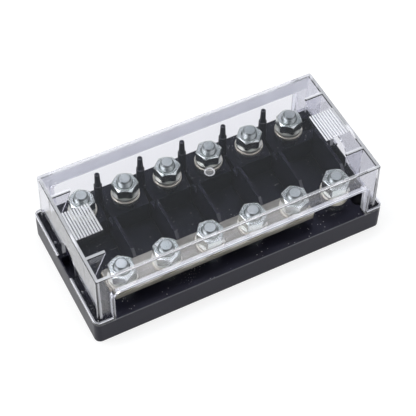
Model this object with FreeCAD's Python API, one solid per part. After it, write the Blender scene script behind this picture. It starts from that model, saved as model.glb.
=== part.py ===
import FreeCAD, Part

import math
import os

# Bolt-down fuse holder for large strip fuses: a black moulded base carries two rows of
# threaded terminals, a busbar joins most of the front row, and a clear cover stands over it all.
# Millimetres. X runs along the rows, +Y to the rear, +Z up, origin under the middle of the base.

# Ways and terminal rows
way_count = 6
way_pitch = 25.5
row_spacing = 51.0
bussed_ways = 5

# Base moulding
end_margin = 10.15
side_margin = 15.7
base_height = 15.5
base_corner_radius = 3.5
base_edge_chamfer = 0.5
well_floor = 2.0
platform_lead = 6.7

# Partitions between the fuses
partition_thickness = 1.8
partition_offset = 0.2
partition_height = 8.5
partition_rear_step = 5.4
partition_front_step = 8.8
partition_slope_run = 3.2
partition_slope_drop = 3.8
partition_root = 1.0
end_wall_thickness = 1.9

# Slots between the rear platforms
slot_past_row = 4.0
slot_wide = 2.9
slot_narrow = 1.5

# Guide posts behind the slots
post_past_row = 7.5
post_foot_radius = 2.5
post_shoulder_radius = 2.3
post_shoulder_height = 14.0
post_shoulder_chamfer = 0.25
pin_foot_radius = 1.8
pin_tip_radius = 1.4
pin_height = 9.1
pin_tip_chamfer = 0.4

# Mounting holes and finger recesses at the ends
fixing_end_inset = 8.65
fixing_side_inset = 11.2
fixing_hole_diameter = 5.5
counterbore_diameter = 9.2
counterbore_floor = 4.0
recess_length = 15.0
recess_width = 4.8
recess_depth = 6.5
recess_outer_wall = 1.25
recess_corner_radius = 1.0

# Terminal hardware, thread M8
thread_diameter = 8.0
stud_length = 28.0
stud_chamfer = 1.0
rear_stud_reach = 20.8
front_stud_reach = 22.8
stud_head_length = 13.0
stud_head_width = 9.8
stud_head_height = 3.5
stud_hole_clearance = 0.15
head_pocket_clearance = 0.1
nut_across_flats = 13.0
nut_height = 6.8
nut_face_ratio = 0.95
nut_chamfer_angle = 30.0
nut_bore_clearance = 0.05
washer_diameter = 16.0
washer_thickness = 1.6
washer_clearance = 0.2
spring_washer_diameter = 14.8
spring_washer_thickness = 2.1
spring_washer_clearance = 0.1
spring_washer_gap = 0.9
spring_washer_skew = 25.0
spacer_washers = 2

# How far each nut is turned about its stud, in degrees
rear_nut_turns = (21, 36, 43, 50, 48, 20)
front_nut_turns = (23, 22, 52, 40, 20, 42)
rear_lower_turns = (40, 32, 20, 10, 50, 32)
front_lower_turns = (15, 35, 5, 48, 25, 40)
spring_gap_per_nut_turn = 4

# Busbar
busbar_width = 17.5
busbar_thickness = 3.0
busbar_overhang = 8.75
busbar_corner_chamfer = 1.2
busbar_hole_clearance = 0.25

# Clear cover
cover_height = 34.25
cover_wall = 2.0
cover_draft = 0.42
cover_corner_radius = 1.2
cover_edge_radius = 0.6
flange_end_width = 3.1
flange_side_width = 2.7
flange_thickness = 1.2
flange_lip_width = 1.25
flange_lip_height = 0.7
cable_opening_inset = 1.75
cable_opening_height = 23.0
cable_opening_radius = 3.5
lip_thickness = 1.5
arch_width = 16.4
arch_height = 17.2
gusset_place = 22.0
gusset_thickness = 1.3
gusset_reach = 10.4
gusset_drop = 26.0
grip_inset = 2.1
grip_length = 15.0
grip_width = 19.0
grip_rib_pitch = 1.6
grip_rib_radius = 0.55
gate_diameter = 5.8
gate_depth = 0.3
spigot_place_y = 18.0
spigot_outset = 0.6
spigot_radius = 1.1
spigot_length = 3.0
spigot_clearance = 0.3

# How far a cut runs past the face that it opens, and how edges are told apart
overrun = 1.0
parallel_share = 0.95
level_tolerance = 1e-6

# Sizes that follow from the ones above
ways_length = way_count * way_pitch
base_length = ways_length + 2 * end_margin
base_width = row_spacing + 2 * side_margin
half_length = base_length / 2
half_width = base_width / 2
row_y = row_spacing / 2
platform_edge = row_y - platform_lead
slot_rear = row_y + slot_past_row
post_row = row_y + post_past_row
partition_rear = platform_edge - partition_rear_step
partition_front = platform_edge - partition_front_step
ways_end = ways_length / 2
thread_radius = thread_diameter / 2
nut_corner = nut_across_flats / math.sqrt(3)
seat_height = base_height + nut_height
rear_seat = base_height + rear_stud_reach - stud_length
front_seat = base_height + front_stud_reach - stud_length
cover_foot_x = half_length - flange_end_width
cover_foot_y = half_width - flange_side_width
cover_top = base_height + cover_height
cover_ceiling = cover_top - cover_wall
way_centres = [(i + 0.5) * way_pitch - ways_end for i in range(way_count)]
way_bounds = [i * way_pitch - ways_end for i in range(1, way_count)]
spigot_x = cover_foot_x - cover_wall / 2 + spigot_outset
above_all = cover_top + overrun


def point(x, y, z):
    return FreeCAD.Vector(x, y, z)


def block(x0, x1, y0, y1, z0, z1):
    return Part.makeBox(x1 - x0, y1 - y0, z1 - z0, point(x0, y0, z0))


def rod(x, y, z0, z1, radius):
    return Part.makeCylinder(radius, z1 - z0, point(x, y, z0))


def cone(x, y, z0, z1, r0, r1):
    return Part.makeCone(r0, r1, z1 - z0, point(x, y, z0))


def prism(corners, run):
    """A flat polygon pushed along a vector."""
    wire = Part.makePolygon(corners + corners[:1])
    return Part.Face(wire).extrude(run)


def edges_along(edges, axis):
    """Those edges that run nearly along X, Y or Z."""
    found = []
    for edge in edges:
        run = edge.Vertexes[-1].Point - edge.Vertexes[0].Point
        if run.Length > 0 and abs(getattr(run, axis)) > parallel_share * run.Length:
            found.append(edge)
    return found


def edges_at(edges, z):
    """Those edges that lie in one level plane."""
    return [e for e in edges if all(abs(v.Point.z - z) < level_tolerance for v in e.Vertexes)]


def rounded_block(x0, x1, y0, y1, z0, z1, radius):
    shape = block(x0, x1, y0, y1, z0, z1)
    return shape.makeFillet(radius, edges_along(shape.Edges, "z"))


def mirrored(shape, normal):
    return shape.mirror(point(0, 0, 0), normal)


def both_ends(shape):
    return [shape, mirrored(shape, point(1, 0, 0))]


def four_corners(shape):
    pair = both_ends(shape)
    return pair + [mirrored(s, point(0, 1, 0)) for s in pair]


def base_block():
    body = rounded_block(-half_length, half_length, -half_width, half_width, 0, base_height,
                         base_corner_radius)
    rims = edges_at(body.Edges, 0) + edges_at(body.Edges, base_height)
    return body.makeChamfer(base_edge_chamfer, rims)


def slot_tool(bound):
    """The tapering gap between two rear platforms, open to the well in front of it."""
    right = bound + partition_offset + partition_thickness / 2
    front = platform_edge - overrun
    corners = [point(right, front, well_floor), point(right, slot_rear, well_floor),
               point(right - slot_narrow, slot_rear, well_floor),
               point(right - slot_wide, front, well_floor)]
    return prism(corners, point(0, 0, above_all))


def partition(left, thickness, rear):
    """A wall of deck height right across the well, with a taller middle and a sloping nose."""
    top = base_height + partition_height
    nose = -partition_front - partition_slope_run
    back = platform_edge + partition_root
    foot = well_floor - overrun
    outline = [(-back, foot), (-back, base_height), (nose, base_height),
               (nose, top - partition_slope_drop), (-partition_front, top), (rear, top),
               (rear, base_height), (back, base_height), (back, foot)]
    return prism([point(left, y, z) for y, z in outline], point(thickness, 0, 0))


def partitions():
    left = partition_offset - partition_thickness / 2
    walls = [partition(bound + left, partition_thickness, partition_rear) for bound in way_bounds]
    walls += both_ends(partition(ways_end, end_wall_thickness, platform_edge))
    return walls


def guide_post(x):
    """A drafted column with a chamfered shoulder and a slim pin on top."""
    shoulder = base_height + post_shoulder_height
    tip = shoulder + pin_height
    foot = base_height - overrun
    column = cone(x, post_row, foot, shoulder, post_foot_radius, post_shoulder_radius)
    column = column.makeChamfer(post_shoulder_chamfer, edges_at(column.Edges, shoulder))
    pin = cone(x, post_row, shoulder - overrun, tip, pin_foot_radius, pin_tip_radius)
    pin = pin.makeChamfer(pin_tip_chamfer, edges_at(pin.Edges, tip))
    return column.fuse(pin)


def stud_pocket(x, y, seat):
    """Clearance hole for a stud, with a flat-sided pocket for its head from below."""
    hole = rod(x, y, 0, above_all, thread_radius + stud_hole_clearance)
    pocket = rod(x, y, -overrun, seat, stud_head_length / 2 + head_pocket_clearance)
    half = stud_head_width / 2 + head_pocket_clearance
    flats = block(x - stud_head_length, x + stud_head_length, y - half, y + half, -overrun, seat)
    return hole.fuse(pocket.common(flats))


def fixing_tool():
    x = half_length - fixing_end_inset
    y = half_width - fixing_side_inset
    hole = rod(x, y, -overrun, above_all, fixing_hole_diameter / 2)
    return hole.fuse(rod(x, y, counterbore_floor, above_all, counterbore_diameter / 2))


def recess_tool():
    outer = half_length - recess_outer_wall
    return rounded_block(outer - recess_width, outer, -recess_length / 2, recess_length / 2,
                         base_height - recess_depth, above_all, recess_corner_radius)


def base():
    body = base_block()
    wells = block(-ways_end, ways_end, -platform_edge, platform_edge, well_floor, above_all)
    body = body.cut([wells] + [slot_tool(bound) for bound in way_bounds])
    body = body.fuse(partitions() + [guide_post(bound) for bound in way_bounds])
    tools = four_corners(fixing_tool()) + both_ends(recess_tool())
    socket = rod(spigot_x, spigot_place_y, base_height - spigot_length - spigot_clearance, above_all,
                 spigot_radius + spigot_clearance)
    tools += four_corners(socket)
    for x in way_centres:
        tools += [stud_pocket(x, row_y, rear_seat), stud_pocket(x, -row_y, front_seat)]
    return body.cut(tools).removeSplitter()


def stud(x, y, seat):
    """A round shank with a chamfered end and a flat-sided head that cannot turn."""
    tip = seat + stud_length
    shank = rod(x, y, seat, tip - stud_chamfer, thread_radius)
    end = cone(x, y, tip - stud_chamfer, tip, thread_radius, thread_radius - stud_chamfer)
    low = seat - stud_head_height
    head = rod(x, y, low, seat, stud_head_length / 2)
    half = stud_head_width / 2
    head = head.common(block(x - stud_head_length, x + stud_head_length, y - half, y + half, low, seat))
    return shank.fuse([end, head]).removeSplitter()


def hexagon_nut(x, y, z, turn):
    """A hexagon nut with both faces chamfered and a plain bore in place of its thread."""
    corners = []
    for i in range(6):
        angle = math.radians(turn + 60 * i)
        corners.append(point(nut_corner * math.cos(angle), nut_corner * math.sin(angle), 0))
    body = prism(corners, point(0, 0, nut_height))
    face = nut_across_flats / 2 * nut_face_ratio
    rise = (nut_corner - face) * math.tan(math.radians(nut_chamfer_angle))
    envelope = cone(0, 0, 0, rise, face, nut_corner).fuse(
        [rod(0, 0, rise, nut_height - rise, nut_corner),
         cone(0, 0, nut_height - rise, nut_height, nut_corner, face)])
    hole = rod(0, 0, 0, nut_height, thread_radius + nut_bore_clearance)
    nut = body.common(envelope.removeSplitter()).cut(hole).removeSplitter()
    nut.translate(point(x, y, z))
    return nut


def flat_washer(x, y, z):
    disc = rod(x, y, z, z + washer_thickness, washer_diameter / 2)
    return disc.cut(rod(x, y, z, z + washer_thickness, thread_radius + washer_clearance))


def spring_washer(x, y, z, turn):
    """A split ring drawn flat by its nut, with a skew gap."""
    top = z + spring_washer_thickness
    ring = rod(x, y, z, top, spring_washer_diameter / 2)
    ring = ring.cut(rod(x, y, z, top, thread_radius + spring_washer_clearance))
    lean = spring_washer_thickness * math.tan(math.radians(spring_washer_skew))
    half = spring_washer_gap / 2
    corners = [point(x, y - half - lean / 2, z), point(x, y + half - lean / 2, z),
               point(x, y + half + lean / 2, top), point(x, y - half + lean / 2, top)]
    gap = prism(corners, point(spring_washer_diameter, 0, 0))
    gap.rotate(point(x, y, z), point(0, 0, 1), turn)
    return ring.cut(gap)


def busbar():
    low = way_centres[0] - busbar_overhang
    high = way_centres[bussed_ways - 1] + busbar_overhang
    half = busbar_width / 2
    bar = block(low, high, -row_y - half, -row_y + half, seat_height, seat_height + busbar_thickness)
    bar = bar.makeChamfer(busbar_corner_chamfer, edges_along(bar.Edges, "z"))
    radius = thread_radius + busbar_hole_clearance
    holes = [rod(x, -row_y, 0, above_all, radius) for x in way_centres[:bussed_ways]]
    return bar.cut(holes)


def frustum(foot_x, foot_y, z0, z1, lean):
    """A four-sided block whose walls lean inwards towards the top."""
    wires = []
    for z, inset in ((z0, 0.0), (z1, lean)):
        x = foot_x - inset
        y = foot_y - inset
        wires.append(Part.makePolygon([point(-x, -y, z), point(x, -y, z), point(x, y, z),
                                       point(-x, y, z), point(-x, -y, z)]))
    return Part.makeLoft(wires, True, True)


def cover_shell():
    outer = frustum(cover_foot_x, cover_foot_y, base_height, cover_top, cover_draft)
    outer = outer.makeFillet(cover_corner_radius, edges_along(outer.Edges, "z"))
    return outer.makeFillet(cover_edge_radius, edges_at(outer.Edges, cover_top))


def cover_hollow():
    """The space inside the cover, run on below it so that it opens downwards."""
    lean = cover_draft / cover_height
    low = base_height - overrun
    foot_inset = cover_wall - lean * overrun
    return frustum(cover_foot_x - foot_inset, cover_foot_y - foot_inset, low, cover_ceiling,
                   lean * (cover_ceiling - low))


def cover_flange():
    """The foot round both ends: a flat rim with a raised outer lip, flush with the base."""
    low = base_height
    rim = rounded_block(-half_length, half_length, -half_width, half_width, low,
                        low + flange_thickness, base_corner_radius)
    high = low + flange_thickness + flange_lip_height
    lip = rounded_block(-half_length, half_length, -half_width, half_width, low, high,
                        base_corner_radius)
    inner = rounded_block(-half_length + flange_lip_width, half_length - flange_lip_width,
                          -half_width + flange_lip_width, half_width - flange_lip_width,
                          low - overrun, high + overrun, base_corner_radius - flange_lip_width)
    return rim.fuse(lip.cut(inner))


def side_window(half, low, top, radius, y0, y1):
    """A block along Y with rounded upper corners."""
    shape = block(-half, half, y0, y1, low, top)
    return shape.makeFillet(radius, edges_along(edges_at(shape.Edges, top), "y"))


def cable_openings():
    top = base_height + cable_opening_height
    reach = half_width + overrun
    return side_window(ways_end - cable_opening_inset, base_height - overrun, top,
                       cable_opening_radius, -reach, reach)


def cable_lips():
    """The rims that stand out round the cable openings and run down to the flange."""
    half = ways_end - cable_opening_inset + lip_thickness
    top = base_height + cable_opening_height + lip_thickness
    start = cover_foot_y - cover_draft - cover_wall / 2
    radius = cable_opening_radius + lip_thickness
    rim = side_window(half, base_height, top, radius, start, half_width)
    return [rim, mirrored(rim, point(0, 1, 0))]


def arch_tool():
    """The round-topped finger opening in an end wall, which also notches the flange."""
    radius = arch_width / 2
    inner = cover_foot_x - cover_wall - overrun
    outer = half_length + overrun
    spring = base_height + arch_height - radius
    legs = block(inner, outer, -radius, radius, base_height - overrun, spring)
    crown = Part.makeCylinder(radius, outer - inner, point(inner, 0, spring), point(1, 0, 0))
    return legs.fuse(crown)


def gusset(y):
    """A thin triangular web between an end wall and the roof."""
    wall = cover_foot_x - cover_draft - cover_wall / 2
    inner = cover_foot_x - cover_draft - cover_wall
    roof = cover_ceiling + cover_wall / 2
    slope = gusset_drop / gusset_reach
    corners = [(inner - gusset_reach, cover_ceiling), (inner - gusset_reach, roof), (wall, roof),
               (wall, cover_ceiling - gusset_drop - slope * (wall - inner))]
    return prism([point(x, y - gusset_thickness / 2, z) for x, z in corners],
                 point(0, gusset_thickness, 0))


def grip_ribs():
    outer = cover_foot_x - cover_draft - grip_inset
    count = int(grip_length / grip_rib_pitch) + 1
    ribs = []
    for i in range(count):
        x = outer - grip_rib_radius - i * (grip_length - 2 * grip_rib_radius) / (count - 1)
        ribs += both_ends(Part.makeCylinder(grip_rib_radius, grip_width,
                                            point(x, -grip_width / 2, cover_top), point(0, 1, 0)))
    return ribs


def spigot():
    low = base_height - spigot_length
    return rod(spigot_x, spigot_place_y, low, base_height + flange_thickness / 2, spigot_radius)


def cover():
    body = cover_shell().fuse([cover_flange()] + cable_lips())
    body = body.cut([cover_hollow(), cable_openings()] + both_ends(arch_tool()))
    body = body.fuse(both_ends(gusset(gusset_place)) + both_ends(gusset(-gusset_place)))
    body = body.fuse(four_corners(spigot()))
    body = body.fuse(grip_ribs())
    gate = rod(0, 0, cover_top - gate_depth, above_all, gate_diameter / 2)
    return body.cut(gate).removeSplitter()


def terminal(nodes, row, number, x, y, seat, shim, turn):
    """Stud, washers and upper nut of one terminal; shim is what lies on the lower nut."""
    level = seat_height + shim
    nodes[f"{row}_stud_{number}"] = stud(x, y, seat)
    nodes[f"{row}_flat_washer_{number}"] = flat_washer(x, y, level)
    level += washer_thickness
    gap_turn = turn * spring_gap_per_nut_turn
    nodes[f"{row}_spring_washer_{number}"] = spring_washer(x, y, level, gap_turn)
    level += spring_washer_thickness
    nodes[f"{row}_nut_{number}"] = hexagon_nut(x, y, level, turn)


def lower_nuts(y, turns):
    return Part.makeCompound([hexagon_nut(x, y, base_height, turn)
                              for x, turn in zip(way_centres, turns)])


def spacers(x):
    """The washers that stand in for the busbar under a terminal of its own."""
    return Part.makeCompound([flat_washer(x, -row_y, seat_height + i * washer_thickness)
                              for i in range(spacer_washers)])


def build():
    nodes = {"base": base(), "cover": cover(), "busbar": busbar()}
    nodes["rear_lower_nuts"] = lower_nuts(row_y, rear_lower_turns)
    nodes["front_lower_nuts"] = lower_nuts(-row_y, front_lower_turns)
    nodes["front_spacer_washers"] = spacers(way_centres[-1])
    for i, x in enumerate(way_centres):
        shim = busbar_thickness if i < bussed_ways else spacer_washers * washer_thickness
        terminal(nodes, "rear", i + 1, x, row_y, rear_seat, 0, rear_nut_turns[i])
        terminal(nodes, "front", i + 1, x, -row_y, front_seat, shim, front_nut_turns[i])
    return nodes


def main():
    os.makedirs("parts", exist_ok=True)
    for name, shape in build().items():
        shape.exportStep(f"parts/{name}.step")


main()
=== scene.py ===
import math

import bpy
from mathutils import Matrix, Vector


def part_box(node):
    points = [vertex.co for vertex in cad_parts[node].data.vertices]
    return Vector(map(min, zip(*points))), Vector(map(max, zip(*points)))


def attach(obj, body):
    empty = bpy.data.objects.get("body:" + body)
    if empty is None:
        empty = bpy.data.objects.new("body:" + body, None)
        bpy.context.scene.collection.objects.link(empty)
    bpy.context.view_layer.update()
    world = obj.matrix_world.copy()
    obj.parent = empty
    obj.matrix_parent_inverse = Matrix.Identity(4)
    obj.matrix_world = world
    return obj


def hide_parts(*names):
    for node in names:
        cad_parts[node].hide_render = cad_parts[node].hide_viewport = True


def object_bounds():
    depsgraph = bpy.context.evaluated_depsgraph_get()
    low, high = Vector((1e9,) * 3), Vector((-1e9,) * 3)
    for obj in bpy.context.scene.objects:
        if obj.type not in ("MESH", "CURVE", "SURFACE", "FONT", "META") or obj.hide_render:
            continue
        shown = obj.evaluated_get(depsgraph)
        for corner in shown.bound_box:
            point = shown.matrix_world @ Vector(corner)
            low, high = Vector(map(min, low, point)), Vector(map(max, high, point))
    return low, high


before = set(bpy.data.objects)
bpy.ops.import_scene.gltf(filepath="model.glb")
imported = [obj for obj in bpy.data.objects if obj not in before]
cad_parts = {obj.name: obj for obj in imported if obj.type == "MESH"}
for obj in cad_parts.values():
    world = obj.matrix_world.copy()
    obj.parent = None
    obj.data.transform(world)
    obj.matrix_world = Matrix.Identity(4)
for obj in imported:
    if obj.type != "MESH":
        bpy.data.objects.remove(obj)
cad_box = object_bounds()

# Bolt-down fuse holder: black base, clear cover, two rows of terminals and a flat busbar.
# Metres, in the frame of the part: X along the rows, +Y to the rear, +Z up.
MM = 0.001

# Camera, as fitted to the photograph
view_azimuth = -28.15
view_elevation = 52.83
view_distance = 723.26 * MM
view_target = Vector((-2.71, -4.13, 24.45)) * MM
view_roll = 1.18
focal_share = 1335.43 / 416
sensor_width = 36.0
clip_near = 0.01
clip_far = 50.0

# Terminals
way_pitch = 25.5 * MM
row_place = 25.5 * MM
end_face_radius = 2.95 * MM
thread_radius = 3.96 * MM
thread_pitch = 1.25 * MM
thread_depth = 0.68 * MM
thread_phase = 0.017 * MM
thread_flat_share = 0.125
thread_lead_turns = 2
thread_spare_turns = 3
stud_chamfer = 1.0 * MM
stud_head_height = 3.5 * MM
stud_head_length = 13.0 * MM
nut_face_ratio = 0.95
nut_chamfer_angle = 30.0
nut_bore_radius = 4.05 * MM
nut_countersink = 0.45 * MM
washer_bore_radius = 4.2 * MM
spring_bore_radius = 4.1 * MM
spring_gap = 0.9 * MM
spring_skew = 25.0

# Grip pads on the cover
grip_width = 19.0 * MM
grip_length = 15.0 * MM
grip_outer = 81.03 * MM

# Other marks on the cover
end_wall_face = 83.13 * MM
side_wall_face = 38.08 * MM
web_place = 22.0 * MM
web_start = 70.7 * MM
pillar_start = 74.75 * MM
rim_level = 17.0 * MM
flange_lip_width = 1.25 * MM
window_top = 38.5 * MM
gate_radius = 2.9 * MM
deck_level = 15.5 * MM

# Softened edges, and the angle in degrees from which an edge counts as sharp
nut_edge = 0.2 * MM
washer_edge = 0.24 * MM
busbar_edge = 0.3 * MM
base_edge = 0.22 * MM
cover_edge = 0.22 * MM
edge_segments = 2
nut_sharp_angle = 20.0
thread_sharp_angle = 28.0
washer_sharp_angle = 30.0
moulding_sharp_angle = 35.0
flat_angle = 0.4

# Fineness of round shapes, how near two points are one, and spare size of cutting tools
weld = 0.0005 * MM
same_level = 0.001 * MM
ring_sides = 72
thread_steps = 40
shank_spare = 0.2 * MM
gap_tool_reach = 1.2
gap_tool_rise = 3

# Black moulding: colours, sizes of its patterns and how strongly each shows
black_bare = (0.0086, 0.0084, 0.0146)
black_filmed = (0.0062, 0.0062, 0.0085)
# The edge grey is a painted highlight laid on the slanted edge faces of the black moulding
edge_highlight_grey = (0.2, 0.2, 0.21)
dust_grey = (0.42, 0.42, 0.41)
black_sheen = (0.76, 0.76, 1.0, 1.0)
cloud_size = 14 * MM
speck_size = 3.2 * MM
speck_patches = 9 * MM
fluff_size = 1.7 * MM
fluff_patches = 21 * MM
scratch_patches = 30 * MM
grain_size = 0.35 * MM
grain_depth = 0.02 * MM
film_share = 0.7
edge_highlight_share = 0.55
dust_share = 0.8

# Clear moulding: colours, how milky it looks, and how strongly a painted glow shows on its ribs and where
# light runs along inside it
glass_tint = (0.82, 0.82, 0.865, 1.0)
glow_tint = (0.8, 0.81, 0.86, 1.0)
shadow_tint = (0.9, 0.9, 0.93, 1.0)
glass_bend = 1.5
glow_strength = 0.3
smudge_size = 26 * MM
milk_everywhere = 0.002
milk_pads = 0.06
rib_glow = 0.42
milk_gate = 0.4
end_top_glow = 0.4
side_top_glow = 0.28
pillar_glow = 0.2
web_glow = 0.4
rim_glow = 0.8
lip_glow = 0.35
flange_glow = 0.3
flange_edge_glow = 0.8
upright_glow = 0.3
rear_strip_glow = 0.5

# Plated steel: how much darker than its body a dull patch and the painted shade in a hollow are, and how
# strongly that shade shows in threads, end rims, bores and joints
plating_cloud = 5 * MM
dull_ratio = 0.72
dull_share = 0.2
shade_ratio = 0.16
thread_shade = 0.65
end_rim_shade = 0.12
bore_shade = 0.3
joint_shade = 0.8

# Busbar
tin_dark = (0.225, 0.214, 0.183)
tin_light = (0.33, 0.317, 0.278)
worn_brass = (0.62, 0.42, 0.16)
worn_share = 0.5

# Lamps: place, width, height, power and colour
lamps = {
    "softbox_left": ((-1.1, 0.5, 1.3), 1.3, 1.3, 18, (1.0, 1.0, 1.0)),
    "softbox_rear": ((0.3, 0.58, 1.7), 1.2, 0.4, 9, (0.97, 0.985, 1.0)),
    "softbox_front": ((0.7, -1.0, 1.5), 1.5, 1.4, 8, (1.0, 0.99, 0.97)),
}

# Surroundings
white = (1.0, 1.0, 1.0, 1.0)
room_low = (0.97, 0.97, 0.97)
room_overhead = (0.27, 0.295, 0.305)
room_strength = 0.8
table_grey = (0.3, 0.3, 0.3, 1.0)
table_glow = 0.76
table_drop = 0.05 * MM
floor_width = 6.0
light_bounces = 32

ways = range(1, 7)
rows = ("rear", "front")


class Value:
    """A number in a material. Arithmetic on it adds the Math nodes."""

    def __init__(self, recipe, socket):
        self.recipe = recipe
        self.socket = socket

    def __add__(self, other):
        return self.recipe.math("ADD", self, other)

    def __sub__(self, other):
        return self.recipe.math("SUBTRACT", self, other)

    def __rsub__(self, other):
        return self.recipe.math("SUBTRACT", other, self)

    def __mul__(self, other):
        return self.recipe.math("MULTIPLY", self, other)

    def __truediv__(self, other):
        return self.recipe.math("DIVIDE", self, other)

    def __pow__(self, other):
        return self.recipe.math("POWER", self, other)

    def __abs__(self):
        return self.recipe.math("ABSOLUTE", self)

    __radd__ = __add__
    __rmul__ = __mul__


class Recipe:
    """The nodes of one finish, from its patterns to its surface."""

    def __init__(self, name, world=False):
        store = bpy.data.worlds if world else bpy.data.materials
        self.material = store.new(name)
        self.material.use_nodes = True
        self.tree = self.material.node_tree
        self.tree.nodes.clear()
        self.place = self.node("TexCoord").outputs["Generated" if world else "Object"]

    def node(self, kind, inputs=None, **settings):
        made = self.tree.nodes.new("ShaderNode" + kind)
        for setting, value in settings.items():
            setattr(made, setting, value)
        for key, value in (inputs or {}).items():
            if isinstance(value, Value):
                value = value.socket
            if isinstance(value, bpy.types.NodeSocket):
                self.tree.links.new(value, made.inputs[key])
            else:
                made.inputs[key].default_value = value
        return made

    def math(self, operation, first, second=0.0):
        made = self.node("Math", {0: first, 1: second}, operation=operation)
        return Value(self, made.outputs[0])

    def larger(self, first, second):
        return self.math("MAXIMUM", first, second)

    def noise(self, size, detail=3.0, roughness=0.55, stretch=None):
        """Soft random grey whose lumps are about this large."""
        place = self.stretched(stretch) if stretch else self.place
        made = self.node("TexNoise", {"Vector": place, "Scale": 1.0 / size, "Detail": detail,
                                      "Roughness": roughness})
        return Value(self, made.outputs["Fac"])

    def stretched(self, scale, angle=0.0):
        made = self.node("Mapping", {"Vector": self.place, "Scale": scale,
                                     "Rotation": (0.0, 0.0, math.radians(angle))})
        return made.outputs["Vector"]

    def cells(self, size, stretch=None, angle=0.0):
        """Distance to the nearest of many points scattered in plan, in shares of their spacing."""
        place = self.stretched(stretch, angle) if stretch else self.place
        made = self.node("TexVoronoi", {"Vector": place, "Scale": 1.0 / size}, voronoi_dimensions="2D")
        return Value(self, made.outputs["Distance"])

    def step(self, value, low, high):
        """Nought below low, one above high and smooth between; low may be the larger."""
        made = self.node("MapRange", {"Value": value, "From Min": low, "From Max": high},
                         interpolation_type="SMOOTHSTEP")
        return Value(self, made.outputs["Result"])

    def past(self, value, line, start, end):
        """A step near a line, which starts and ends this many millimetres from it."""
        return self.step(value, line + start * MM, line + end * MM)

    def along(self, axis):
        made = self.node("SeparateXYZ", {"Vector": self.place})
        return Value(self, made.outputs[axis])

    def from_middle(self):
        """Distance from the part's upright axis."""
        return self.math("SQRT", self.along("X") ** 2 + self.along("Y") ** 2)

    def facing(self, axis):
        """How far a face looks along one axis of the part."""
        normal = self.node("TexCoord").outputs["Normal"]
        return Value(self, self.node("SeparateXYZ", {"Vector": normal}).outputs[axis])

    def ray(self, kind):
        """What sort of ray meets the surface, or how often it has bounced."""
        return Value(self, self.node("LightPath").outputs[kind])

    def tint(self, share, first, second):
        """A colour that goes from the first to the second as the share goes from nought to one."""
        made = self.node("Mix", {0: share, 6: paint(first), 7: paint(second)}, data_type="RGBA")
        return made.outputs[2]

    def bump(self, height, depth, strength):
        made = self.node("Bump", {"Height": height, "Distance": depth, "Strength": strength})
        return made.outputs["Normal"]

    def blend(self, share, first, second):
        """A mix of two shaders."""
        return self.node("MixShader", {0: share, 1: first.outputs[0], 2: second.outputs[0]})

    def surface(self, shader):
        self.node("OutputMaterial", {"Surface": shader.outputs[0]})
        return self.material


def paint(colour):
    return (*colour, 1.0) if isinstance(colour, tuple) else colour


def darker(colour, ratio):
    return tuple(share * ratio for share in colour)


def scratch_marks(mix):
    """Thin broken lines in two directions."""
    first = mix.step(mix.cells(6 * MM, (1.0, 0.08, 1.0), 24.0), 0.03, 0.01)
    second = mix.step(mix.cells(8 * MM, (0.07, 1.0, 1.0), -31.0), 0.025, 0.01)
    return (first + second) * mix.step(mix.noise(scratch_patches), 0.46, 0.6)


def black_plastic():
    """Satin black moulding: fine grain, a painted highlight on its slanted edges, dust and light scratches
    on what faces up.
    """
    mix = Recipe("black_plastic")
    level = mix.facing("Z")
    up = mix.step(level, 0.6, 0.95)
    edges = mix.step(level, 0.2, 0.45) * mix.step(level, 0.97, 0.85)
    cloud = mix.noise(cloud_size, 4.0)
    specks = mix.step(mix.cells(speck_size), 0.11, 0.05) * mix.step(mix.noise(speck_patches), 0.5, 0.6)
    fluff = mix.step(mix.cells(fluff_size), 0.15, 0.07) * mix.step(mix.noise(fluff_patches), 0.6, 0.72)
    scratches = scratch_marks(mix)
    dust = mix.step(up * (specks * 0.8 + fluff * 0.6 + scratches * 0.5), 0.0, 1.0)
    film = up * mix.step(cloud, 0.35, 0.75)
    body = mix.tint(film * film_share, black_bare, black_filmed)
    # Painted highlight: slanted edge faces are lightened towards grey
    edge_lit = mix.tint(edges * edge_highlight_share, body, edge_highlight_grey)
    colour = mix.tint(dust * dust_share, edge_lit, dust_grey)
    grain = mix.noise(grain_size, 2.0)
    relief = mix.bump(grain + scratches * 0.4, grain_depth, 0.5)
    return mix.surface(mix.node("BsdfPrincipled", {
        "Base Color": colour, "Roughness": 0.3 + cloud * 0.14 + dust * 0.2,
        "Specular IOR Level": 0.18, "Specular Tint": black_sheen, "Normal": relief}))


def grip_mask(mix):
    """One on the ribbed grip pads at both ends of the cover's top, nought elsewhere."""
    across = mix.past(abs(mix.along("Y")), grip_width / 2, 0.2, 0.0)
    out = abs(mix.along("X"))
    inner = mix.past(out, grip_outer - grip_length, -0.3, 0.0)
    outer = mix.past(out, grip_outer, 0.3, 0.0)
    top = mix.past(mix.along("Z"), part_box("cover")[1].z, -0.7, -0.6)
    return across * inner * outer * top


def gate_mask(mix):
    """The round gate mark at the middle of the cover's top: one at its rim, less inside it."""
    out = mix.from_middle()
    top = mix.past(mix.along("Z"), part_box("cover")[1].z, -1.2, -1.1)
    disc = mix.past(out, gate_radius, 0.1, 0.0)
    rim = mix.past(out, gate_radius, -1.1, -0.5)
    return top * disc * (0.25 + rim * 0.75)


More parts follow.
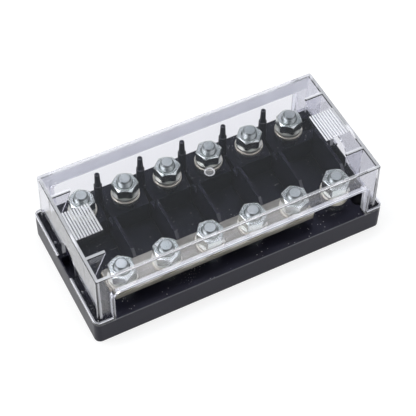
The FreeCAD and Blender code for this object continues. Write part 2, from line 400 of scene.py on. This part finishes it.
def edge_band(mix):
    """Painted glow: how strongly the cover is painted bright where light runs along inside a wall, web,
    lip or flange.
    """
    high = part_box("cover")[1]
    out_x = abs(mix.along("X"))
    out_y = abs(mix.along("Y"))
    level = mix.along("Z")
    up = mix.step(mix.facing("Z"), 0.8, 0.97)
    ends = mix.past(out_x, end_wall_face, -2.1, -1.7)
    sides = mix.past(out_y, side_wall_face, -2.1, -1.7)

    # The walls, webs and corner pillars as seen through the roof
    top = mix.past(level, high.z, -1.2, -0.8) * up
    pillars = mix.past(out_x, pillar_start, 0.0, 0.5)
    webs = mix.past(abs(out_y - web_place), 0.0, 1.0, 0.7) * mix.past(out_x, web_start, 0.0, 0.3)
    side_tops = sides * (side_top_glow + pillars * pillar_glow)
    roof = top * mix.larger(ends * end_top_glow, mix.larger(side_tops, webs * web_glow))

    # The flange and its lip
    past_ends = mix.past(out_x, high.x, -0.6, -0.4)
    lip_ends = mix.past(out_x, high.x - flange_lip_width, -0.1, 0.0) * lip_glow
    past_sides = mix.past(out_y, side_wall_face, 0.5, 0.8) * flange_glow
    outermost = mix.past(out_y, high.y, -0.6, -0.4) * flange_edge_glow
    above_rim = mix.past(level, rim_level, 0.0, 0.2)
    rim_ends = mix.larger(past_ends, lip_ends)
    rims = up * mix.larger(rim_ends, mix.larger(past_sides, outermost)) * above_rim

    # The upright corners, and the strip of wall over the rear cable opening
    upright = mix.past(level, rim_level, 0.0, 1.0)
    front = mix.step(abs(mix.facing("Y")), 0.9, 0.98) * ends
    side = mix.step(abs(mix.facing("X")), 0.9, 0.98) * sides
    inside = mix.step(mix.facing("Y"), -0.9, -0.98)
    rear_wall = mix.past(mix.along("Y"), side_wall_face, -3.0, -2.6)
    rear_strip = mix.past(level, window_top, 0.0, 0.5) * inside * rear_wall
    corners = (front + side) * upright
    return roof + rims * rim_glow + corners * upright_glow + rear_strip * rear_strip_glow


def clear_plastic():
    """Clear moulding with a faint lavender tint that lets light through to what it covers, and a painted
    glow along its walls, edges, ribs and gate.
    """
    mix = Recipe("clear_plastic")
    smudge = mix.step(mix.noise(smudge_size, 4.0), 0.6, 0.8)
    frost = grip_mask(mix)
    ribs = mix.past(mix.along("Z"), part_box("cover")[1].z, -0.48, -0.32)
    gate = gate_mask(mix)
    foot = mix.past(mix.along("Z"), deck_level, -0.1, -0.3)
    glass = mix.node("BsdfPrincipled", {
        "Base Color": glass_tint, "IOR": glass_bend, "Transmission Weight": 1.0,
        "Roughness": smudge * 0.03 + frost * 0.06 + gate * 0.2 + foot * 0.4})
    # Painted glow: a milky layer that gives off light of its own, laid on the cover in the shares added up
    # below
    glowing_milk = mix.node("BsdfPrincipled", {
        "Base Color": glow_tint, "Roughness": 0.25, "IOR": glass_bend,
        "Emission Color": glow_tint, "Emission Strength": glow_strength})
    pads = frost * (milk_pads + ribs * rib_glow)
    milk_and_glow_share = milk_everywhere + pads + gate * milk_gate + edge_band(mix)
    open_way = mix.node("BsdfTransparent", {"Color": shadow_tint})
    return mix.surface(mix.blend(mix.ray("Is Shadow Ray"), mix.blend(milk_and_glow_share, glass, glowing_milk), open_way))


def from_axis(mix):
    """Distance from the axis of the nearest terminal."""
    across = mix.math("PINGPONG", mix.along("X") / way_pitch + 0.5, 0.5) * way_pitch
    along = abs(mix.along("Y")) - row_place
    return mix.math("SQRT", across ** 2 + along ** 2)


def thread_root_shade(mix):
    """Painted shade in the thread's roots and in the ring where the end's chamfer starts."""
    out = from_axis(mix)
    level = mix.step(mix.facing("Z"), 0.8, 0.95)
    root = mix.past(out, thread_radius, -0.1, -0.45)
    chamfer = mix.past(out, end_face_radius, -0.1, 0.0) * mix.step(out, thread_radius, end_face_radius)
    return (root * (1.0 - level) + chamfer * end_rim_shade) * thread_shade


def bore_shade_ring(mix):
    """Painted shade in the countersink round the stud."""
    out = from_axis(mix)
    return mix.step(out, nut_bore_radius + nut_countersink + 0.15 * MM, nut_bore_radius) * bore_shade


def joint_shade_lines(mix):
    """Painted shade: dark lines at the rounded edges, where one ring lies on the next."""
    level = abs(mix.facing("Z"))
    return mix.step(level, 0.2, 0.4) * mix.step(level, 0.985, 0.93) * joint_shade


# Plated pieces: body, warmer patches, roughness, size and depth of the tool marks, places of painted shade
plating = {
    "zinc_nut": ((0.68, 0.735, 0.695), (0.79, 0.815, 0.78), 0.14, 0.9 * MM, 0.012 * MM, bore_shade_ring),
    "zinc_stud": ((0.56, 0.61, 0.59), (0.65, 0.68, 0.66), 0.2, 0.7 * MM, 0.006 * MM, thread_root_shade),
    "zinc_washer": ((0.70, 0.67, 0.58), (0.80, 0.76, 0.66), 0.3, 0.6 * MM, 0.015 * MM, joint_shade_lines),
    "spring_steel": ((0.70, 0.69, 0.64), (0.80, 0.78, 0.72), 0.28, 0.5 * MM, 0.015 * MM, joint_shade_lines),
}


def plated(name):
    """Bright plating over steel: cloudy tint, fine tool marks, dull patches and painted shade in hollows.
    """
    body, warm, rough, mark_size, mark_depth, shaded_places = plating[name]
    mix = Recipe(name)
    cloud = mix.noise(plating_cloud, 4.0)
    marks = mix.noise(mark_size, 4.0, 0.65)
    colour = mix.tint(mix.step(cloud, 0.35, 0.7), body, warm)
    dull = mix.tint(mix.step(marks, 0.58, 0.75) * dull_share, colour, darker(body, dull_ratio))
    # Painted shade: hollows and joints darkened towards a dark share of the body colour
    shaded = mix.tint(shaded_places(mix), dull, darker(body, shade_ratio))
    return mix.surface(mix.node("BsdfPrincipled", {
        "Base Color": shaded, "Metallic": 1.0, "Roughness": rough + marks * 0.14 + cloud * 0.06,
        "Normal": mix.bump(marks, mark_depth, 0.7)}))


def tinned_bar():
    """Dull tin over brass: streaks along the bar, and the brass showing at its worn ends."""
    mix = Recipe("tinned_bar")
    low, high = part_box("busbar")
    streaks = mix.noise(0.7 * MM, 4.0, 0.6, (0.05, 1.0, 1.0))
    cloud = mix.noise(11 * MM, 4.0)
    from_centre = abs(mix.along("X") - (low.x + high.x) / 2)
    ragged = from_centre + mix.noise(2.5 * MM) * 2 * MM
    worn = mix.past(ragged, (high.x - low.x) / 2, 0.4, 1.6)
    tin = mix.tint(mix.step(cloud + streaks * 0.4, 0.5, 0.95), tin_dark, tin_light)
    colour = mix.tint(worn * worn_share, tin, worn_brass)
    return mix.surface(mix.node("BsdfPrincipled", {
        "Base Color": colour, "Metallic": 1.0, "Roughness": 0.3 + streaks * 0.16,
        "Normal": mix.bump(streaks, 0.03 * MM, 0.6)}))


finishes = {"black_plastic": black_plastic(), "clear_plastic": clear_plastic(), "tinned_bar": tinned_bar()}
for plated_name in plating:
    finishes[plated_name] = plated(plated_name)


def work_on(piece):
    bpy.ops.object.select_all(action="DESELECT")
    piece.select_set(True)
    bpy.context.view_layer.objects.active = piece


def edit_whole(piece):
    """Goes into edit mode with the whole mesh selected."""
    work_on(piece)
    bpy.ops.object.mode_set(mode="EDIT")
    bpy.ops.mesh.select_all(action="SELECT")


def leave_edit():
    bpy.ops.object.mode_set(mode="OBJECT")


def settle():
    """Puts a new piece's place, turn and size into its mesh."""
    bpy.ops.object.transform_apply(location=True, rotation=True, scale=True)


def modify(piece, kind, **settings):
    """Gives a piece one modifier and applies it."""
    work_on(piece)
    change = piece.modifiers.new(kind.lower(), kind)
    for setting, value in settings.items():
        setattr(change, setting, value)
    bpy.ops.object.modifier_apply(modifier=change.name)


def finish_edges(piece, width, angle):
    """Rounds the sharp edges, then shades the rest smooth."""
    modify(piece, "BEVEL", width=width, segments=edge_segments, limit_method="ANGLE",
           angle_limit=math.radians(angle))
    bpy.ops.object.shade_smooth_by_angle(angle=math.radians(angle))
    modify(piece, "WEIGHTED_NORMAL", keep_sharp=True, weight=100)


def combine(piece, tool, operation):
    """Cuts, joins or trims a piece with another closed piece, which is used up."""
    modify(piece, "BOOLEAN", operation=operation, object=tool, solver="EXACT")
    bpy.data.objects.remove(tool)


def pick_end(piece, z):
    """Selects the faces of one level, in edit mode."""
    bpy.ops.object.mode_set(mode="OBJECT")
    for face in piece.data.polygons:
        face.select = all(abs(piece.data.vertices[v].co.z - z) < same_level for v in face.vertices)
    bpy.ops.object.mode_set(mode="EDIT")


def drum(radius, low, high, sides=ring_sides):
    """A round bar along Z with its place in its mesh."""
    bpy.ops.object.select_all(action="DESELECT")
    bpy.ops.mesh.primitive_cylinder_add(vertices=sides, radius=radius, depth=high - low,
                                        location=(0, 0, (low + high) / 2))
    piece = bpy.context.object
    settle()
    return piece


def step_end(piece, z, rise, ratio):
    """Draws one end of a bar out by a rise while it narrows or widens."""
    work_on(piece)
    bpy.ops.object.mode_set(mode="EDIT")
    bpy.ops.mesh.select_mode(type="FACE")
    bpy.ops.mesh.select_all(action="DESELECT")
    pick_end(piece, z)
    bpy.ops.mesh.extrude_region_move(TRANSFORM_OT_translate={"value": (0, 0, rise)})
    bpy.ops.transform.resize(value=(ratio, ratio, 1), center_override=(0, 0, z + rise))
    leave_edit()


def tapered_drum(radius, low, high, rise, ratio, both=True):
    """A round bar whose ends narrow or widen over a short rise."""
    piece = drum(radius, low + rise if both else low, high - rise)
    step_end(piece, high - rise, rise, ratio)
    if both:
        step_end(piece, low + rise, -rise, ratio)
    return piece


def hexagon_nut(corner, height):
    """A nut at the origin with a corner along +X, chamfered on both faces."""
    half_side_angle = math.radians(30)
    face = corner * math.cos(half_side_angle) * nut_face_ratio
    rise = (corner - face) * math.tan(math.radians(nut_chamfer_angle))
    nut = drum(corner, 0, height, 6)
    work_on(nut)
    bpy.ops.transform.rotate(value=half_side_angle, orient_axis="Z", center_override=(0, 0, 0))
    settle()
    combine(nut, tapered_drum(corner, 0, height, rise, face / corner), "INTERSECT")
    wide = (nut_bore_radius + nut_countersink) / nut_bore_radius
    bore = tapered_drum(nut_bore_radius, 0, height, nut_countersink, wide)
    combine(nut, bore, "DIFFERENCE")
    finish_edges(nut, nut_edge, nut_sharp_angle)
    return nut


def ring(outer, bore, height):
    piece = drum(outer, 0, height)
    combine(piece, drum(bore, -height, 2 * height), "DIFFERENCE")
    return piece


def flat_washer(outer, height):
    washer = ring(outer, washer_bore_radius, height)
    finish_edges(washer, washer_edge, washer_sharp_angle)
    return washer


def spring_washer(outer, height):
    """A ring with a skew gap on its +X side."""
    washer = ring(outer, spring_bore_radius, height)
    skew = math.radians(spring_skew)
    bpy.ops.object.select_all(action="DESELECT")
    bpy.ops.mesh.primitive_cube_add(
        size=1, location=(outer, 0, height / 2), rotation=(skew, 0, 0),
        scale=(outer * gap_tool_reach, spring_gap * math.cos(skew), height * gap_tool_rise))
    gap = bpy.context.object
    settle()
    combine(washer, gap, "DIFFERENCE")
    finish_edges(washer, washer_edge, washer_sharp_angle)
    return washer


def thread_profile():
    """One tooth of the thread as a chain of edges, from root to root."""
    bpy.ops.object.select_all(action="DESELECT")
    bpy.ops.mesh.primitive_plane_add(size=MM, location=(0, 0, 0))
    tooth = bpy.context.object
    bpy.ops.object.mode_set(mode="EDIT")
    bpy.ops.mesh.select_mode(type="VERT")
    bpy.ops.mesh.select_all(action="SELECT")
    bpy.ops.mesh.merge(type="CENTER")
    bpy.ops.transform.translate(value=(thread_radius - thread_depth, 0, 0))
    flat = thread_pitch * thread_flat_share
    flank = thread_pitch / 2 - flat
    for out, up in ((0, flat), (thread_depth, flank), (0, flat), (-thread_depth, flank)):
        bpy.ops.mesh.extrude_vertices_move(TRANSFORM_OT_translate={"value": (out, 0, up)})
    leave_edit()
    settle()
    return tooth


def cut_off(piece, place, outwards):
    """Cuts a closed or hollow piece through a place, closes the cut and drops what lies outwards."""
    edit_whole(piece)
    bpy.ops.mesh.bisect(plane_co=place, plane_no=outwards, use_fill=True, clear_outer=True, threshold=weld)
    leave_edit()


def threaded_shank(seat, high):
    """A closed threaded bar from its seat to its chamfered end."""
    shank = thread_profile()
    modify(shank, "SCREW", axis="Z", angle=math.radians(360), screw_offset=thread_pitch,
           iterations=math.ceil((high - seat) / thread_pitch) + thread_spare_turns,
           steps=thread_steps, render_steps=thread_steps,
           use_merge_vertices=True, merge_threshold=weld)
    edit_whole(shank)
    bpy.ops.mesh.remove_doubles(threshold=weld)
    start = seat - thread_lead_turns * thread_pitch + thread_phase
    bpy.ops.transform.translate(value=(0, 0, start))
    leave_edit()
    cut_off(shank, (0, 0, seat), (0, 0, -1))
    cut_off(shank, (0, 0, high), (0, 0, 1))
    edit_whole(shank)
    bpy.ops.mesh.normals_make_consistent(inside=False)
    leave_edit()
    wide = thread_radius + shank_spare
    narrow_ratio = (thread_radius - stud_chamfer) / wide
    envelope = tapered_drum(wide, seat - MM, high, stud_chamfer, narrow_ratio, False)
    combine(shank, envelope, "INTERSECT")
    return shank


def threaded_stud(low, high, head_length, head_width):
    """A threaded shank with a chamfered end and a flat-sided head under it."""
    seat = low + stud_head_height
    stud = threaded_shank(seat, high)
    head = drum(head_length / 2, low, seat)
    for side in (1, -1):
        cut_off(head, (0, side * head_width / 2, 0), (0, side, 0))
    combine(stud, head, "UNION")
    work_on(stud)
    bpy.ops.object.shade_smooth_by_angle(angle=math.radians(thread_sharp_angle))
    return stud


def copy_of(model, name, place, turn=0.0):
    """One more of a piece that was modelled at the origin, with its place in its own mesh."""
    mesh = model.data.copy()
    mesh.transform(Matrix.Translation(place) @ Matrix.Rotation(turn, 4, "Z"))
    piece = bpy.data.objects.new(name, mesh)
    bpy.context.scene.collection.objects.link(piece)
    return piece


def joined(parts):
    """Makes one piece of several, under the first one's name."""
    work_on(parts[0])
    for part in parts:
        part.select_set(True)
    bpy.ops.object.join()
    return parts[0]


def dressed(piece, slot, body, *nodes):
    """Gives a new piece its finish and its body, and hides the nodes that it stands for."""
    piece.data.materials.clear()
    piece.data.materials.append(finishes[slot])
    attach(piece, body)
    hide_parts(*nodes)


def merged_copy(node, name):
    """A copy of a node's mesh with its loose triangles joined into whole faces."""
    piece = bpy.data.objects.new(name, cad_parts[node].data.copy())
    bpy.context.scene.collection.objects.link(piece)
    edit_whole(piece)
    bpy.ops.mesh.remove_doubles(threshold=weld)
    bpy.ops.mesh.dissolve_limited(angle_limit=math.radians(flat_angle))
    leave_edit()
    return piece


def axis_of(node):
    """The point on a round or six-sided node's own axis, at its foot."""
    low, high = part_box(node)
    return Vector(((low.x + high.x) / 2, (low.y + high.y) / 2, low.z))


def height_of(node):
    low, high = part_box(node)
    return high.z - low.z


def points_of(node, centre):
    """A node's points near one terminal, as seen from a point on that terminal's axis."""
    points = (vertex.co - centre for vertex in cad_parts[node].data.vertices)
    return [point for point in points if abs(point.x) < way_pitch / 2]


def farthest_corner(node, centre):
    """The corner that lies farthest from the axis of one terminal."""
    return max(points_of(node, centre), key=lambda point: math.hypot(point.x, point.y))


def corner_direction(node, centre):
    corner = farthest_corner(node, centre)
    return math.atan2(corner.y, corner.x)


def gap_direction(node, centre):
    """Direction of a split washer's gap: the one farthest from any of its corners."""
    angles = sorted(math.atan2(point.y, point.x) for point in points_of(node, centre))
    angles.append(angles[0] + 2 * math.pi)
    widest = max(zip(angles, angles[1:]), key=lambda pair: pair[1] - pair[0])
    return sum(widest) / 2


def upper_nuts(model):
    for row in rows:
        for way in ways:
            node = f"{row}_nut_{way}"
            centre = axis_of(node)
            piece = copy_of(model, f"{row}_clamp_nut_{way}", centre, corner_direction(node, centre))
            dressed(piece, "zinc_nut", node, node)


def lower_nuts(model):
    """The nuts that clamp the studs to the base, six to a piece."""
    for row in rows:
        node = f"{row}_lower_nuts"
        parts = []
        for way in ways:
            centre = axis_of(f"{row}_stud_{way}")
            centre.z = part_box(node)[0].z
            parts.append(copy_of(model, f"{row}_base_nuts", centre, corner_direction(node, centre)))
        dressed(joined(parts), "zinc_nut", "base", node)


def nuts():
    corner = farthest_corner("rear_nut_1", axis_of("rear_nut_1"))
    model = hexagon_nut(math.hypot(corner.x, corner.y), height_of("rear_nut_1"))
    upper_nuts(model)
    lower_nuts(model)
    bpy.data.objects.remove(model)


def washers():
    low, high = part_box("rear_flat_washer_1")
    flat = flat_washer((high.x - low.x) / 2, high.z - low.z)
    low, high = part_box("rear_spring_washer_1")
    spring = spring_washer((high.y - low.y) / 2, high.z - low.z)
    for row in rows:
        for way in ways:
            body = f"{row}_washers_{way}"
            node = f"{row}_flat_washer_{way}"
            centre = axis_of(node)
            dressed(copy_of(flat, f"{row}_plain_washer_{way}", centre), "zinc_washer", body, node)
            node = f"{row}_spring_washer_{way}"
            centre.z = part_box(node)[0].z
            piece = copy_of(spring, f"{row}_split_washer_{way}", centre, gap_direction(node, centre))
            dressed(piece, "spring_steel", body, node)
    spacer_washers(flat)
    bpy.data.objects.remove(flat)
    bpy.data.objects.remove(spring)


def spacer_washers(flat):
    """The washers under the last front terminal, which the busbar doesn't reach."""
    node = "front_spacer_washers"
    centre = axis_of(node)
    thickness = height_of("rear_flat_washer_1")
    count = round(height_of(node) / thickness)
    parts = [copy_of(flat, "front_spacers", centre + Vector((0, 0, i * thickness))) for i in range(count)]
    dressed(joined(parts), "zinc_washer", "base", node)


def studs():
    low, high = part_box("rear_stud_1")
    model = threaded_stud(0, high.z - low.z, stud_head_length, high.y - low.y)
    for row in rows:
        for way in ways:
            node = f"{row}_stud_{way}"
            piece = copy_of(model, f"{row}_threaded_stud_{way}", axis_of(node))
            dressed(piece, "zinc_stud", "base", node)
    bpy.data.objects.remove(model)


def moulding(node, name, edge, slot, body):
    piece = merged_copy(node, name)
    finish_edges(piece, edge, moulding_sharp_angle)
    dressed(piece, slot, body, node)


def camera():
    azimuth, elevation = math.radians(view_azimuth), math.radians(view_elevation)
    back = Vector((math.sin(azimuth) * math.cos(elevation), -math.cos(azimuth) * math.cos(elevation),
                   math.sin(elevation)))
    right = (-back).cross(Vector((0, 0, 1))).normalized()
    up = right.cross(-back)
    roll = math.radians(view_roll)
    across = math.cos(roll) * right + math.sin(roll) * up
    upward = -math.sin(roll) * right + math.cos(roll) * up
    data = bpy.data.cameras.new("camera")
    data.sensor_width = sensor_width
    data.lens = focal_share * sensor_width
    data.clip_start = clip_near
    data.clip_end = clip_far
    made = bpy.data.objects.new("camera", data)
    turned = Matrix((across, upward, back)).transposed().to_4x4()
    made.matrix_world = Matrix.Translation(view_target + back * view_distance) @ turned
    bpy.context.scene.collection.objects.link(made)
    bpy.context.scene.camera = made


def panel_light(name, place, width, height, power, colour):
    """A soft rectangular lamp that looks at the part."""
    data = bpy.data.lights.new(name, "AREA")
    data.shape = "RECTANGLE"
    data.size = width
    data.size_y = height
    data.energy = power
    data.color = colour
    lamp = bpy.data.objects.new(name, data)
    place = Vector(place)
    lamp.matrix_world = Matrix.Translation(place) @ (-place).to_track_quat("-Z", "Y").to_matrix().to_4x4()
    bpy.context.scene.collection.objects.link(lamp)


def surroundings():
    """A pale studio for what metal mirrors, and plain white behind the part."""
    mix = Recipe("studio", world=True)
    seen = mix.step(mix.ray("Glossy Depth") + mix.ray("Diffuse Depth"), 0.6, 0.4)
    ceiling = mix.tint(mix.step(mix.along("Z"), 0.05, 0.75), room_low, room_overhead)
    room = mix.node("Background", {"Color": ceiling, "Strength": room_strength})
    backdrop = mix.node("Background", {"Color": white, "Strength": 1.0})
    choice = mix.blend(seen, room, backdrop)
    out = mix.node("OutputWorld", {"Surface": choice.outputs[0]})
    out.is_active_output = True
    bpy.context.scene.world = mix.material


def floor():
    """A white table that keeps a soft shadow and fades into the backdrop."""
    mix = Recipe("table_white")
    seen = mix.step(mix.ray("Diffuse Depth"), 0.6, 0.4)
    far = mix.step(mix.from_middle(), 0.4, 1.2)
    lit = mix.node("BsdfDiffuse", {"Color": table_grey})
    strength = seen * (table_glow + far * (1.0 - table_glow))
    glow = mix.node("Emission", {"Color": white, "Strength": strength})
    finish = mix.surface(mix.node("AddShader", {0: lit.outputs[0], 1: glow.outputs[0]}))
    bpy.ops.object.select_all(action="DESELECT")
    bpy.ops.mesh.primitive_plane_add(size=floor_width, location=(0, 0, cad_box[0].z - table_drop))
    table = bpy.context.object
    table.name = "table"
    table.data.materials.append(finish)


bpy.ops.object.select_all(action="DESELECT")
camera()
for lamp_name, lamp_values in lamps.items():
    panel_light(lamp_name, *lamp_values)
surroundings()
floor()
moulding("base", "base_moulding", base_edge, "black_plastic", "base")
moulding("cover", "cover_moulding", cover_edge, "clear_plastic", "cover")
moulding("busbar", "bus_strip", busbar_edge, "tinned_bar", "base")
studs()
washers()
nuts()

bpy.context.scene.view_settings.view_transform = "Standard"
bpy.context.scene.cycles.max_bounces = light_bounces
bpy.context.scene.cycles.transmission_bounces = light_bounces
bpy.context.scene.cycles.transparent_max_bounces = light_bounces
